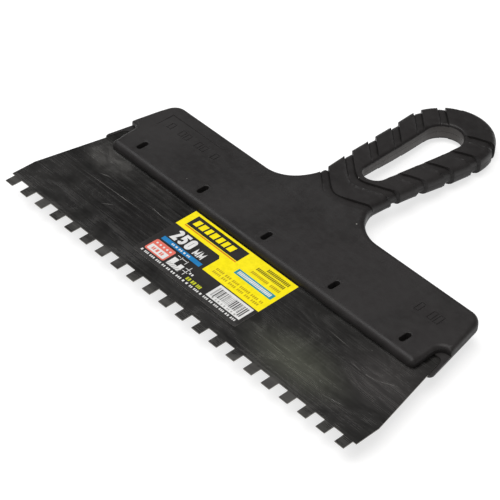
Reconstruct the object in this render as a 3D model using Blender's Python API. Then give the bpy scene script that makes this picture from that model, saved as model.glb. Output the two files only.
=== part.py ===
"""Notched trowel (facade spatula) with a 250 mm stainless blade.

Four pieces: the toothed blade, the two mouldings of the grip (upper and
lower half, which clamp the blade between them) and the paper label.

X runs along the row of teeth, +Y from the teeth towards the grip, +Z up.
The origin is the middle of the bounding box, on its lowest level.
"""
import math

import bpy
import numpy as np
from mathutils import Vector
from mathutils.geometry import delaunay_2d_cdt

MM = 0.001

# ---------------------------------------------------------------- dimensions
# all in millimetres; here y = 0 is the line of the tooth tips and z = 0 the
# upper face of the blade
BLADE_W = 250.0          # width over the shoulders
BLADE_T = 0.5            # sheet thickness
TOOTH_N = 21
TOOTH_PITCH = 12.0
TOOTH_W = 5.8
TOOTH_DEPTH = 6.0
SHOULDER_Y = 20.3        # sides start to taper here
TAPER = 0.213            # mm in per mm back
BLADE_BACK_Y = 72.4
BLADE_BACK_R = 2.6

LIP_Y = 57.6             # front edge of the holder on the blade
LIP_R = 3.0              # corner of the front lip, in plan
HOLD_BACK_Y = 104.6
HOLD_BACK_R = 7.8
SIDE_X0, SIDE_Y0, SIDE_K = 117.1, 67.5, 0.19   # side line of the holder
RECESS_X = 109.0         # recess that shows the corner of the blade
RECESS_Y = 76.2
RECESS_R = 4.5

NECK_R = 21.0            # fillet from holder to grip
GRIP_W0, GRIP_Y0 = 18.1, 126.0                 # half width at the neck
GRIP_W1, GRIP_Y1 = 26.1, 195.0                 # half width at the end arc
GRIP_END_Y = 223.8
HOLE_W0, HOLE_Y0 = 6.7, 143.2                  # finger hole, neck end
HOLE_W1, HOLE_Y1 = 10.8, 193.5                 # finger hole, far end
HOLE_END_Y = 205.6

TOP_HOLD, TOP_GRIP = 4.1, 5.1                  # height over the seam
END_SWELL = 0.9                                # extra height at the grip end
LOWER_FRONT = 60.2                             # front edge, lower moulding
BOT_HOLD, BOT_GRIP = 3.1, 5.8                  # depth under the seam
SEAM_DROP, SEAM_Y = 0.084, 136.8               # the grip slopes down a little
EDGE_R = 3.6             # rounding of the grip's outer edge
HOLD_R = 2.2             # rounding of the holder's sides and back
HOLE_R = 1.6             # rounding round the finger hole
HOLE_DIP = 0.7            # the limbs fall a little towards the hole
LIP_ROUND = 3.4

SPLIT = 0.3              # gap between the two mouldings
CLEAR = 0.35             # gap round the blade

WINDOW_N, WINDOW_PITCH, WINDOW_Y = 5, 47.37, 67.5
WINDOW_L, WINDOW_W = 7.0, 3.0
BOSS_L, BOSS_W, BOSS_TOP = 5.6, 1.9, 1.5
SLOT_W = 2.8             # slots in the back edge of the blade

PIN_D, PIN_H, SOCKET_D, SOCKET_H = 3.0, 2.0, 3.8, 2.6
PINS = ((-84.0, 91.0), (-42.0, 91.0), (42.0, 91.0), (84.0, 91.0),
        (0.0, 113.0), (0.0, 214.5))

# wrap-like bands moulded into the grip: (y at x = 0 of the sharp line)
BAND_LEFT_K, BAND_RIGHT_K = -0.86, 0.46
BAND_Y, BAND_PITCH, BAND_N = 114.8, 17.5, 6
BAND_W = 6.0             # width of the sunken strip, along y
BAND_SIDE = 1.3          # how far the strip is set in at the side
BAND_TOP = 0.7           # and on the top
STEP = 0.25              # run of the steep flank
BAND_HALF = 40.0

LABEL_X0, LABEL_X1, LABEL_Y0, LABEL_Y1 = -40.3, 34.3, 15.4, 56.8
LABEL_R, LABEL_T, LABEL_GAP = 1.0, 0.12, 0.1

GRID = 7.0               # spacing of the free points on the flat areas

# ------------------------------------------------------------ plan outlines


def arc(cx, cy, rx, ry, a0, a1, n):
    """Points on an elliptic arc, angles in degrees."""
    return [(cx + rx * math.cos(math.radians(a0 + (a1 - a0) * i / n)),
             cy + ry * math.sin(math.radians(a0 + (a1 - a0) * i / n)))
            for i in range(n + 1)]


def line(p, q, n):
    return [(p[0] + (q[0] - p[0]) * i / n, p[1] + (q[1] - p[1]) * i / n)
            for i in range(n + 1)]


def side_x(y):
    return SIDE_X0 - SIDE_K * (y - SIDE_Y0)


def fillet(a, b, c, r, n):
    """Round the corner b between a and c with radius r."""
    a, b, c = Vector(a), Vector(b), Vector(c)
    u, v = (a - b).normalized(), (c - b).normalized()
    half = math.acos(max(-1.0, min(1.0, u.dot(v)))) / 2.0
    reach = r / math.tan(half)
    centre = b + (u + v).normalized() * (r / math.sin(half))
    p, q = b + u * reach - centre, b + v * reach - centre
    a0 = math.atan2(p.y, p.x)
    turn = math.atan2(p.x * q.y - p.y * q.x, p.dot(q))
    return [(centre.x + r * math.cos(a0 + turn * i / n),
             centre.y + r * math.sin(a0 + turn * i / n))
            for i in range(n + 1)]


def grip_half():
    """Right half of the grip from the neck fillet to the far end."""
    pts = []
    neck_x = GRIP_W0 + NECK_R + 1.0
    pts += arc(neck_x, HOLD_BACK_Y + NECK_R, NECK_R, NECK_R, -90, -172, 12)
    x1, y1 = pts[-1]
    # tapering side, then a smooth turn into the elliptic end
    for i in range(1, 15):
        t = i / 15.0
        y = y1 + (GRIP_Y1 - y1) * t
        k = (GRIP_W1 - x1) / (GRIP_Y1 - y1)
        pts.append((x1 + k * (y - y1), y))
    pts += arc(0, GRIP_Y1, GRIP_W1, GRIP_END_Y - GRIP_Y1, 0, 90, 16)
    return pts


def mirror_close(half):
    """Half outline from (0, front) on the right up to (0, back)."""
    left = [(-x, y) for x, y in reversed(half) if x > 1e-6]
    return half + left


def lower_half():
    front = LOWER_FRONT
    corner = (side_x(front), front)
    back = (side_x(HOLD_BACK_Y), HOLD_BACK_Y)
    pts = line((0.0, front), (108.0, front), 9)
    pts += fillet((100.0, front), corner, back, 3.0, 6)
    pts += line((side_x(66.0), 66.0), (side_x(94.0), 94.0), 4)
    pts += fillet(corner, back, (0.0, HOLD_BACK_Y), HOLD_BACK_R, 9)
    pts += line((96.0, HOLD_BACK_Y), (46.0, HOLD_BACK_Y), 5)
    return pts + grip_half()


def upper_half():
    back = (side_x(HOLD_BACK_Y), HOLD_BACK_Y)
    ear = (side_x(RECESS_Y + 1.0) - 0.05, RECESS_Y + 1.0)
    pts = line((0.0, LIP_Y), (101.0, LIP_Y), 9)
    pts += fillet((100.0, LIP_Y), (RECESS_X, LIP_Y), (RECESS_X, RECESS_Y),
                  LIP_R, 6)
    pts += fillet((RECESS_X, LIP_Y), (RECESS_X, RECESS_Y), ear, RECESS_R, 6)
    pts += [ear]
    pts += line((side_x(80.0), 80.0), (side_x(94.0), 94.0), 3)
    pts += fillet(ear, back, (0.0, HOLD_BACK_Y), HOLD_BACK_R, 9)
    pts += line((96.0, HOLD_BACK_Y), (46.0, HOLD_BACK_Y), 5)
    return pts + grip_half()


def hole_loop():
    half = arc(0, HOLE_Y0, HOLE_W0, HOLE_W0, -90, 0, 8)
    half += line((HOLE_W0, HOLE_Y0), (HOLE_W1, HOLE_Y1), 7)[1:-1]
    half += arc(0, HOLE_Y1, HOLE_W1, HOLE_END_Y - HOLE_Y1, 0, 90, 9)
    return mirror_close(half)


def obround(cx, cy, length, width, n=5):
    """Slot outline, long side along Y."""
    r, h = width / 2.0, (length - width) / 2.0
    return (arc(cx, cy + h, r, r, 0, 180, n)
            + arc(cx, cy - h, r, r, 180, 360, n))


def circle(cx, cy, d, n=12):
    return arc(cx, cy, d / 2.0, d / 2.0, 0, 360, n)[:-1]


def blade_side(y):
    return BLADE_W / 2.0 - TAPER * max(0.0, y - SHOULDER_Y)


def blade_outline(grow=0.0, teeth=True, slots=True):
    """Outline of the blade; the plain version serves for its pocket."""
    half = []
    if teeth:
        reach = (TOOTH_N - 1) // 2
        half.append((0.0, 0.0))
        for i in range(reach):
            edge = i * TOOTH_PITCH + TOOTH_W / 2.0
            gap = (i + 1) * TOOTH_PITCH - TOOTH_W / 2.0
            half += [(edge, 0.0), (edge, TOOTH_DEPTH),
                     (gap, TOOTH_DEPTH), (gap, 0.0)]
        edge = reach * TOOTH_PITCH + TOOTH_W / 2.0
        half += [(edge, 0.0), (edge, TOOTH_DEPTH)]
        half += [(BLADE_W / 2.0, TOOTH_DEPTH), (BLADE_W / 2.0, SHOULDER_Y)]
    else:
        half += [(0.0, 40.0), (blade_side(40.0) + grow, 40.0)]
    back = BLADE_BACK_Y + grow
    half += fillet((blade_side(40.0) + grow, 40.0),
                   (blade_side(back) + grow, back), (0.0, back),
                   BLADE_BACK_R + grow, 6)
    if slots:
        for i in (2, 1):
            cx = i * WINDOW_PITCH
            cy = WINDOW_Y - (WINDOW_L - SLOT_W) / 2.0
            half += [(cx + SLOT_W / 2.0, back)]
            half += arc(cx, cy, SLOT_W / 2.0, SLOT_W / 2.0, 0, -180, 8)
            half += [(cx - SLOT_W / 2.0, back)]
        cy = WINDOW_Y - (WINDOW_L - SLOT_W) / 2.0
        half += [(SLOT_W / 2.0, back)]
        half += arc(0, cy, SLOT_W / 2.0, SLOT_W / 2.0, 0, -90, 4)
    else:
        half += [(0.0, back)]
    return mirror_close(half)


# ------------------------------------------------------------ height fields


def smooth(t):
    t = np.clip(t, 0.0, 1.0)
    return t * t * (3.0 - 2.0 * t)


def seam_z(y):
    """Level of the joint between the two mouldings."""
    return -SEAM_DROP * 5.0 * np.log1p(np.exp(np.clip((y - SEAM_Y) / 5.0,
                                                      -40, 40)))


def seg_distance(p, loop):
    """Distance from each point to a closed polygon."""
    a = np.asarray(loop, float)
    b = np.roll(a, -1, axis=0)
    best = np.full(len(p), 1e9)
    for s, e in zip(a, b):
        d = e - s
        n = float(d @ d)
        if n < 1e-12:
            continue
        t = np.clip(((p - s) @ d) / n, 0.0, 1.0)
        best = np.minimum(best, np.hypot(*(p - s - t[:, None] * d).T))
    return best


def inside(p, loop):
    """Even-odd test of points against a polygon."""
    a = np.asarray(loop, float)
    b = np.roll(a, -1, axis=0)
    hit = np.zeros(len(p), bool)
    for (x0, y0), (x1, y1) in zip(a, b):
        if y0 == y1:
            continue
        cut = (y0 > p[:, 1]) != (y1 > p[:, 1])
        hit ^= cut & (p[:, 0] < (x1 - x0) * (p[:, 1] - y0) / (y1 - y0) + x0)
    return hit


def inset(loop, d):
    """Parallel loop on the inner side of a counter-clockwise loop."""
    a = np.asarray(loop, float)
    keep = [a[0]]
    for q in a[1:]:
        if np.hypot(*(q - keep[-1])) > 1e-3:
            keep.append(q)
    a = np.array(keep)
    t = np.roll(a, -1, axis=0) - a
    t /= np.hypot(t[:, 0], t[:, 1])[:, None]
    n = np.stack([-t[:, 1], t[:, 0]], 1)
    m = n + np.roll(n, 1, axis=0)
    m /= np.maximum(1e-9, (m * m).sum(1))[:, None] / 2.0
    q = a + m * d
    good = seg_distance(q, a) > abs(d) * 0.93
    return q, good


def band_line(x, k):
    """y of the k-th sharp line at x."""
    x = np.asarray(x, float)
    slope = np.where(x < 0, BAND_LEFT_K * x, BAND_RIGHT_K * x)
    # rounded vertex of the chevron on the axis
    soft = 4.0
    r = np.sqrt(x * x + soft * soft) - soft
    slope = np.where(x < 0, -BAND_LEFT_K * r, BAND_RIGHT_K * r)
    return BAND_Y + k * BAND_PITCH + slope


def sunken(p):
    """1 on the sunken strips, 0 on the raised bands (steep flanks)."""
    out = np.zeros(len(p))
    for k in range(BAND_N):
        d = band_line(p[:, 0], k) - p[:, 1]
        rise = np.clip(d / STEP, 0.0, 1.0)
        fall = np.clip((BAND_W - d) / STEP, 0.0, 1.0)
        out = np.maximum(out, np.minimum(rise, fall))
    return out


def round_off(d, r):
    """Drop of a rounded edge at distance d from it."""
    t = np.clip(1.0 - d / r, 0.0, 1.0)
    return r * (1.0 - np.sqrt(np.maximum(0.0, 1.0 - t * t)))


# ------------------------------------------------------------------ meshing


def triangulate(loops, rings, lines, loose):
    """Constrained triangulation of loops, open lines and loose points."""
    verts, edges = [], []
    for loop in loops:
        base = len(verts)
        verts += [Vector(q) for q in loop]
        edges += [(base + i, base + (i + 1) % len(loop))
                  for i in range(len(loop))]
    for pts, good in rings:
        index = {}
        for i, q in enumerate(pts):
            if good[i]:
                index[i] = len(verts)
                verts.append(Vector(q))
        for i in range(len(pts)):
            j = (i + 1) % len(pts)
            if i in index and j in index:
                edges.append((index[i], index[j]))
    for ln in lines:
        base = len(verts)
        verts += [Vector(q) for q in ln]
        edges += [(base + i, base + i + 1) for i in range(len(ln) - 1)]
    verts += [Vector(q) for q in loose]
    v, _, f, _, _, _ = delaunay_2d_cdt(verts, edges, [], 0, 1e-4)
    return np.array([(q.x, q.y) for q in v]), [tuple(t) for t in f]


def make_object(name, verts, faces, material, sharp=35.0):
    mesh = bpy.data.meshes.new(name)
    mesh.from_pydata([(x * MM, (y - CY) * MM, (z - CZ) * MM)
                      for x, y, z in verts], [], faces)
    mesh.validate()
    mesh.update()
    obj = bpy.data.objects.new(name, mesh)
    bpy.context.scene.collection.objects.link(obj)
    mesh.materials.append(material)
    mesh.shade_smooth()
    mesh.set_sharp_from_angle(angle=math.radians(sharp))
    return obj


def material(name, colour, rough, metal):
    mat = bpy.data.materials.new(name)
    mat.use_nodes = True
    bsdf = mat.node_tree.nodes["Principled BSDF"]
    bsdf.inputs["Base Color"].default_value = (*colour, 1.0)
    bsdf.inputs["Roughness"].default_value = rough
    bsdf.inputs["Metallic"].default_value = metal
    return mat


def sheet_solid(p, faces, top, bottom):
    """Closed solid between two height fields on one triangulation."""
    n = len(p)
    used = sorted({i for f in faces for i in f})
    remap = {v: i for i, v in enumerate(used)}
    m = len(used)
    verts = [(p[i, 0], p[i, 1], top[i]) for i in used]
    verts += [(p[i, 0], p[i, 1], bottom[i]) for i in used]
    out, edge = [], {}
    for f in faces:
        a = [remap[i] for i in f]
        area = sum(p[f[i], 0] * p[f[(i + 1) % len(f)], 1]
                   - p[f[(i + 1) % len(f)], 0] * p[f[i], 1]
                   for i in range(len(f)))
        if area < 0:
            a.reverse()
        out.append(tuple(a))
        out.append(tuple(i + m for i in reversed(a)))
        for i in range(len(a)):
            edge[(a[i], a[(i + 1) % len(a)])] = True
    for (i, j) in list(edge):
        if (j, i) not in edge:
            out.append((i, i + m, j + m, j))
    return verts, out


def moulding(name, half, upper, mat):
    """One half of the grip as a closed solid."""
    outer = mirror_close(half)
    hole = hole_loop()
    set_in, ok_in = inset(outer, BAND_SIDE)
    grip = set_in[:, 1] > BAND_Y - 1.0
    loops = [outer, hole]
    rings = [(set_in, ok_in & grip)]
    holes = [hole]
    if upper:
        wins = [obround(i * WINDOW_PITCH, WINDOW_Y, WINDOW_L, WINDOW_W)
                for i in range(-2, 3)]
        loops += wins
        holes += wins
    radius = EDGE_R
    for t in (0.10, 0.32, 0.62, 1.0):
        q, g = inset(outer, radius * t)
        rings.append((q, g))
        q, g = inset(set_in, radius * t)
        rings.append((q, g & (q[:, 1] > BAND_Y + 6.0)))
    for t in (0.3, 1.0):
        q, g = inset(list(reversed(hole)), HOLE_R * t)
        rings.append((q, g))
    # features on the joint face
    flats = []
    if upper:
        for x, y in PINS:
            flats += [circle(x, y, SOCKET_D), circle(x, y, SOCKET_D - 0.1)]
    else:
        for x, y in PINS:
            flats += [circle(x, y, PIN_D), circle(x, y, PIN_D + 0.1)]
        for g in (CLEAR, CLEAR + 0.08):
            flats.append([q for q in blade_outline(g, False, False)])
        for i in range(-2, 3):
            for g in (0.0, 0.08):
                flats.append(obround(i * WINDOW_PITCH, WINDOW_Y,
                                     BOSS_L + g, BOSS_W + g, 4))
    loops += flats
    lines = []
    for k in range(BAND_N):
        for off in (0.0, STEP, BAND_W - STEP, BAND_W):
            xs = np.concatenate([np.linspace(-BAND_HALF, -6, 9),
                                 np.linspace(-4, 4, 5),
                                 np.linspace(6, BAND_HALF, 9)])
            ys = band_line(xs, k) - off
            good = (np.abs(xs) < 27.5) & (ys < GRIP_END_Y + 4)
            good &= ~((np.abs(xs) > 22.5) & (ys < 128))
            run = [(float(x), float(y)) for x, y, g in zip(xs, ys, good) if g]
            if len(run) > 1:
                lines.append(run)
    gx = np.arange(-119.0, 119.1, GRID)
    gy = np.arange(LIP_Y + 4.0, GRIP_END_Y, GRID)
    g = np.array([(x, y) for y in gy for x in gx])
    d = seg_distance(g, outer)
    keep = inside(g, outer) & (d > radius + GRID * 0.35)
    for lp in holes:
        keep &= ~inside(g, lp) & (seg_distance(g, lp) > 1.5)
    keep &= g[:, 1] < BAND_Y - 4.0
    p, faces = triangulate(loops, rings, lines, g[keep].tolist())

    mid = np.array([p[list(f)].mean(axis=0) for f in faces])
    inner = inside(mid, outer)
    for lp in holes:
        inner &= ~inside(mid, lp)
    low = (sunken(mid) > 0.02) & (mid[:, 1] > GRIP_Y0 - 1.0)
    inner &= ~(low & ~inside(mid, set_in))
    faces = [f for f, k in zip(faces, inner) if k]

    x, y = p[:, 0], p[:, 1]
    s = sunken(p) * smooth((y - 112.0) / 6.0)
    d_out = seg_distance(p, outer)
    d_in = np.where(inside(p, set_in), seg_distance(p, set_in), 0.0)
    d_edge = np.where((s > 0.02) & (y > GRIP_Y0 - 1.0), d_in, d_out)
    d_edge = np.where(inside(p, outer), d_edge, 0.0)
    d_hole = seg_distance(p, hole)
    if upper:
        blend = smooth((y - 98.0) / 20.0)
        body = TOP_HOLD + (TOP_GRIP - TOP_HOLD) * blend
        body = body + END_SWELL * smooth((y - 176.0) / 28.0)
    else:
        blend = smooth((y - 128.0) / 50.0)
        body = BOT_HOLD + (BOT_GRIP - BOT_HOLD) * blend
    height = body - HOLE_DIP * blend * (1.0 - smooth(d_hole / 6.0))
    r_out = (LIP_ROUND + (HOLD_R - LIP_ROUND) * smooth((y - 62.0) / 6.0)
             + (EDGE_R - HOLD_R) * smooth((y - 112.0) / 16.0))
    r_out = np.minimum(r_out, height - 0.8)
    skin = height - round_off(d_edge, r_out) - round_off(d_hole, HOLE_R)
    skin -= BAND_TOP * s
    level = seam_z(y)
    if upper:
        joint = level + SPLIT
        for cx, cy in PINS:
            r = np.hypot(x - cx, y - cy)
            joint = np.where(r < SOCKET_D / 2.0 - 0.02, joint + SOCKET_H,
                             joint)
        skin = np.maximum(level + skin, level + SPLIT + 0.35)
        v, f = sheet_solid(p, faces, skin, joint)
    else:
        joint = level + 0.0 * y
        pocket = inside(p, blade_outline(CLEAR + 0.04, False, False))
        joint = np.where(pocket, -BLADE_T - SPLIT, joint)
        for i in range(-2, 3):
            boss = inside(p, obround(i * WINDOW_PITCH, WINDOW_Y,
                                     BOSS_L + 0.04, BOSS_W + 0.04, 4))
            joint = np.where(boss, BOSS_TOP, joint)
        for cx, cy in PINS:
            r = np.hypot(x - cx, y - cy)
            joint = np.where(r < PIN_D / 2.0 + 0.02, joint + PIN_H, joint)
        skin = np.minimum(level - skin, level - 1.15)
        v, f = sheet_solid(p, faces, joint, skin)
    return make_object(name, v, f, mat)


def plate(name, loop, z0, z1, mat):
    """Flat sheet with the given outline."""
    verts = [(x, y, z1) for x, y in loop] + [(x, y, z0) for x, y in loop]
    n = len(loop)
    faces = [tuple(range(n)), tuple(range(2 * n - 1, n - 1, -1))]
    faces += [(i, i + n, (i + 1) % n + n, (i + 1) % n) for i in range(n)]
    obj = make_object(name, verts, faces, mat, 20.0)
    return obj


# -------------------------------------------------------------------- model
for obj in list(bpy.data.objects):
    bpy.data.objects.remove(obj)

CY = GRIP_END_Y / 2.0
CZ = float(seam_z(np.array([GRIP_END_Y - 3.6]))[0]) - BOT_GRIP

steel = material("steel", (0.42, 0.42, 0.41), 0.32, 1.0)
black = material("black_plastic", (0.045, 0.044, 0.046), 0.48, 0.0)
dark = material("dark_plastic", (0.055, 0.053, 0.054), 0.5, 0.0)
paper = material("label_print", (0.85, 0.78, 0.05), 0.35, 0.0)

plate("blade", blade_outline(), -BLADE_T, 0.0, steel)
moulding("grip_upper", upper_half(), True, black)
moulding("grip_lower", lower_half(), False, dark)
plate("label",
      fillet((LABEL_X1, LABEL_Y1), (LABEL_X0, LABEL_Y1), (LABEL_X0, LABEL_Y0), LABEL_R, 4)
      + fillet((LABEL_X0, LABEL_Y1), (LABEL_X0, LABEL_Y0), (LABEL_X1, LABEL_Y0), LABEL_R, 4)
      + fillet((LABEL_X0, LABEL_Y0), (LABEL_X1, LABEL_Y0), (LABEL_X1, LABEL_Y1), LABEL_R, 4)
      + fillet((LABEL_X1, LABEL_Y0), (LABEL_X1, LABEL_Y1), (LABEL_X0, LABEL_Y1), LABEL_R, 4),
      LABEL_GAP, LABEL_GAP + LABEL_T, paper)
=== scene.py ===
"""Looks of the notched trowel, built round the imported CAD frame."""

import math
import random

import bpy
import numpy as np
from mathutils import Matrix, Vector
from mathutils.geometry import delaunay_2d_cdt


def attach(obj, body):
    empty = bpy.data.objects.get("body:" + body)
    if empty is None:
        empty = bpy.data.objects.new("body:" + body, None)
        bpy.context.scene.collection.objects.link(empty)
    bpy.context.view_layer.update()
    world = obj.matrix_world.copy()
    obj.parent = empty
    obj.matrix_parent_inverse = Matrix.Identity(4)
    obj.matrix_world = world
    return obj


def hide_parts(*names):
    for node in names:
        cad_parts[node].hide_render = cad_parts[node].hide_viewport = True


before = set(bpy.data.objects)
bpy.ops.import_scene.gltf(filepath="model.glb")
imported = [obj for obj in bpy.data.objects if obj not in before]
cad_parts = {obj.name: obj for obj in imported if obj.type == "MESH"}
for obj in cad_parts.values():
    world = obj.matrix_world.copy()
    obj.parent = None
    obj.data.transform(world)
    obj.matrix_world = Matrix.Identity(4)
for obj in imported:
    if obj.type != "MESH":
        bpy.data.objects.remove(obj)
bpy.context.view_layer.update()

MM = 0.001
rng = random.Random(7)

# ------------------------------------------------------------- dimensions
# millimetres, y = 0 at the tooth tips, z = 0 on the blade's upper face
BLADE_W, BLADE_T = 250.0, 0.5
TOOTH_N, TOOTH_PITCH, TOOTH_W, TOOTH_DEPTH = 21, 12.0, 5.8, 6.0
SHOULDER_Y, TAPER = 20.3, 0.213
BLADE_BACK_Y, BLADE_BACK_R = 72.4, 2.6
LIP_Y, LIP_R = 57.6, 3.0
HOLD_BACK_Y, HOLD_BACK_R = 104.6, 7.8
LOWER_FRONT, END_SWELL = 60.2, 0.9
SIDE_X0, SIDE_Y0, SIDE_K = 117.1, 67.5, 0.19
RECESS_X, RECESS_Y, RECESS_R = 109.0, 76.2, 4.5
NECK_R = 21.0
GRIP_W0, GRIP_Y0 = 18.1, 126.0
GRIP_W1, GRIP_Y1 = 26.1, 195.0
GRIP_END_Y = 223.8
HOLE_W0, HOLE_Y0 = 6.7, 143.2
HOLE_W1, HOLE_Y1 = 10.8, 193.5
HOLE_END_Y = 205.6
TOP_HOLD, TOP_GRIP = 4.1, 5.1
BOT_HOLD, BOT_GRIP = 3.1, 5.8
SEAM_DROP, SEAM_Y = 0.084, 136.8
EDGE_R, HOLD_R, HOLE_R, LIP_ROUND = 3.6, 2.2, 1.6, 3.4
HOLE_DIP = 0.7
REAR_R = 2.9
WIN_R = 0.45
JOINT = 0.10             # what shows of the joint between the mouldings
CLEAR = 0.25
WINDOW_PITCH, WINDOW_Y, WINDOW_L, WINDOW_W = 47.37, 67.5, 7.0, 3.0
BOSS_L, BOSS_W, BOSS_TOP = 5.6, 1.9, -0.3
SLOT_W = 2.8
BAND_LEFT_K, BAND_RIGHT_K = -0.86, 0.46
BAND_Y, BAND_PITCH, BAND_N = 114.8, 17.5, 6
BAND_W, BAND_SIDE = 6.0, 1.3
BAND_DEEP, BAND_SHALLOW = 0.95, 0.30
GROOVE, BAND_LEAN = 0.45, 0.28
STEP = 0.30
CY = GRIP_END_Y / 2.0


def seam_z(y):
    return -SEAM_DROP * 5.0 * np.log1p(np.exp(np.clip((y - SEAM_Y) / 5.0,
                                                      -40, 40)))


CZ = float(seam_z(np.array([GRIP_END_Y - 3.6]))[0]) - BOT_GRIP

# ---------------------------------------------------------- plan outlines


def arc(cx, cy, rx, ry, a0, a1, n):
    return [(cx + rx * math.cos(math.radians(a0 + (a1 - a0) * i / n)),
             cy + ry * math.sin(math.radians(a0 + (a1 - a0) * i / n)))
            for i in range(n + 1)]


def line(p, q, n):
    return [(p[0] + (q[0] - p[0]) * i / n, p[1] + (q[1] - p[1]) * i / n)
            for i in range(n + 1)]


def side_x(y):
    return SIDE_X0 - SIDE_K * (y - SIDE_Y0)


def fillet(a, b, c, r, n):
    a, b, c = Vector(a), Vector(b), Vector(c)
    u, v = (a - b).normalized(), (c - b).normalized()
    half = math.acos(max(-1.0, min(1.0, u.dot(v)))) / 2.0
    reach = r / math.tan(half)
    centre = b + (u + v).normalized() * (r / math.sin(half))
    p, q = b + u * reach - centre, b + v * reach - centre
    a0 = math.atan2(p.y, p.x)
    turn = math.atan2(p.x * q.y - p.y * q.x, p.dot(q))
    return [(centre.x + r * math.cos(a0 + turn * i / n),
             centre.y + r * math.sin(a0 + turn * i / n))
            for i in range(n + 1)]


def grip_half():
    pts = []
    neck_x = GRIP_W0 + NECK_R + 1.0
    pts += arc(neck_x, HOLD_BACK_Y + NECK_R, NECK_R, NECK_R, -90, -172, 40)
    x1, y1 = pts[-1]
    for i in range(1, 40):
        t = i / 40.0
        y = y1 + (GRIP_Y1 - y1) * t
        k = (GRIP_W1 - x1) / (GRIP_Y1 - y1)
        pts.append((x1 + k * (y - y1), y))
    pts += arc(0, GRIP_Y1, GRIP_W1, GRIP_END_Y - GRIP_Y1, 0, 90, 56)
    return pts


def mirror_close(half):
    left = [(-x, y) for x, y in reversed(half) if x > 1e-6]
    return half + left


def lower_half():
    front = LOWER_FRONT
    corner = (side_x(front), front)
    back = (side_x(HOLD_BACK_Y), HOLD_BACK_Y)
    pts = line((0.0, front), (108.0, front), 54)
    pts += fillet((100.0, front), corner, back, 3.0, 14)
    pts += line((side_x(66.0), 66.0), (side_x(94.0), 94.0), 14)
    pts += fillet(corner, back, (0.0, HOLD_BACK_Y), HOLD_BACK_R, 22)
    pts += line((98.0, HOLD_BACK_Y), (46.0, HOLD_BACK_Y), 26)
    return pts + grip_half()


def upper_half():
    back = (side_x(HOLD_BACK_Y), HOLD_BACK_Y)
    ear = (side_x(RECESS_Y + 1.0) - 0.05, RECESS_Y + 1.0)
    pts = line((0.0, LIP_Y), (105.0, LIP_Y), 54)
    pts += fillet((100.0, LIP_Y), (RECESS_X, LIP_Y), (RECESS_X, RECESS_Y),
                  LIP_R, 14)
    pts += line((RECESS_X, 62.5), (RECESS_X, 70.0), 4)
    pts += fillet((RECESS_X, LIP_Y), (RECESS_X, RECESS_Y), ear, RECESS_R, 14)
    pts += [(ear[0] - 0.35, ear[1] - 0.05), (ear[0] - 0.1, ear[1] + 0.1),
            (side_x(ear[1] + 0.4), ear[1] + 0.4)]
    pts += line((side_x(80.0), 80.0), (side_x(94.0), 94.0), 8)
    pts += fillet(ear, back, (0.0, HOLD_BACK_Y), HOLD_BACK_R, 22)
    pts += line((98.0, HOLD_BACK_Y), (46.0, HOLD_BACK_Y), 26)
    return pts + grip_half()


def hole_loop():
    half = arc(0, HOLE_Y0, HOLE_W0, HOLE_W0, -90, 0, 26)
    half += line((HOLE_W0, HOLE_Y0), (HOLE_W1, HOLE_Y1), 36)[1:-1]
    half += arc(0, HOLE_Y1, HOLE_W1, HOLE_END_Y - HOLE_Y1, 0, 90, 30)
    return mirror_close(half)


def obround(cx, cy, length, width, n=12):
    r, h = width / 2.0, (length - width) / 2.0
    return (arc(cx, cy + h, r, r, 0, 180, n)
            + arc(cx, cy - h, r, r, 180, 360, n))


def blade_side(y):
    return BLADE_W / 2.0 - TAPER * max(0.0, y - SHOULDER_Y)


def pocket_outline(grow):
    back = BLADE_BACK_Y + grow
    half = [(0.0, 40.0), (blade_side(40.0) + grow, 40.0)]
    half += fillet((blade_side(40.0) + grow, 40.0),
                   (blade_side(back) + grow, back), (0.0, back),
                   BLADE_BACK_R + grow, 12)
    return mirror_close(half + [(0.0, back)])


# ---------------------------------------------------------- height fields


def smooth(t):
    t = np.clip(t, 0.0, 1.0)
    return t * t * (3.0 - 2.0 * t)


def seg_distance(p, loop, closed=True):
    a = np.asarray(loop, float)
    b = np.roll(a, -1, axis=0)
    if not closed:
        a, b = a[:-1], b[:-1]
    best = np.full(len(p), 1e9)
    for s, e in zip(a, b):
        d = e - s
        n = float(d @ d)
        if n < 1e-12:
            continue
        q = p - s
        t = np.clip((q @ d) / n, 0.0, 1.0)
        q = q - t[:, None] * d
        best = np.minimum(best, q[:, 0] ** 2 + q[:, 1] ** 2)
    return np.sqrt(best)


def inside(p, loop):
    a = np.asarray(loop, float)
    b = np.roll(a, -1, axis=0)
    hit = np.zeros(len(p), bool)
    for (x0, y0), (x1, y1) in zip(a, b):
        if y0 == y1:
            continue
        cut = (y0 > p[:, 1]) != (y1 > p[:, 1])
        hit ^= cut & (p[:, 0] < (x1 - x0) * (p[:, 1] - y0) / (y1 - y0) + x0)
    return hit


def inset(loop, d):
    a = np.asarray(loop, float)
    keep = [a[0]]
    for q in a[1:]:
        if np.hypot(*(q - keep[-1])) > 1e-3:
            keep.append(q)
    a = np.array(keep)
    t = np.roll(a, -1, axis=0) - a
    t /= np.hypot(t[:, 0], t[:, 1])[:, None]
    n = np.stack([-t[:, 1], t[:, 0]], 1)
    m = n + np.roll(n, 1, axis=0)
    m /= np.maximum(1e-9, (m * m).sum(1))[:, None] / 2.0
    q = a + m * d
    good = seg_distance(q, a) > abs(d) * 0.96
    return q, good


def band_line(x, k):
    x = np.asarray(x, float)
    soft = 4.0
    r = np.sqrt(x * x + soft * soft) - soft
    slope = np.where(x < 0, -BAND_LEFT_K * r, BAND_RIGHT_K * r)
    return BAND_Y + k * BAND_PITCH + slope


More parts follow.
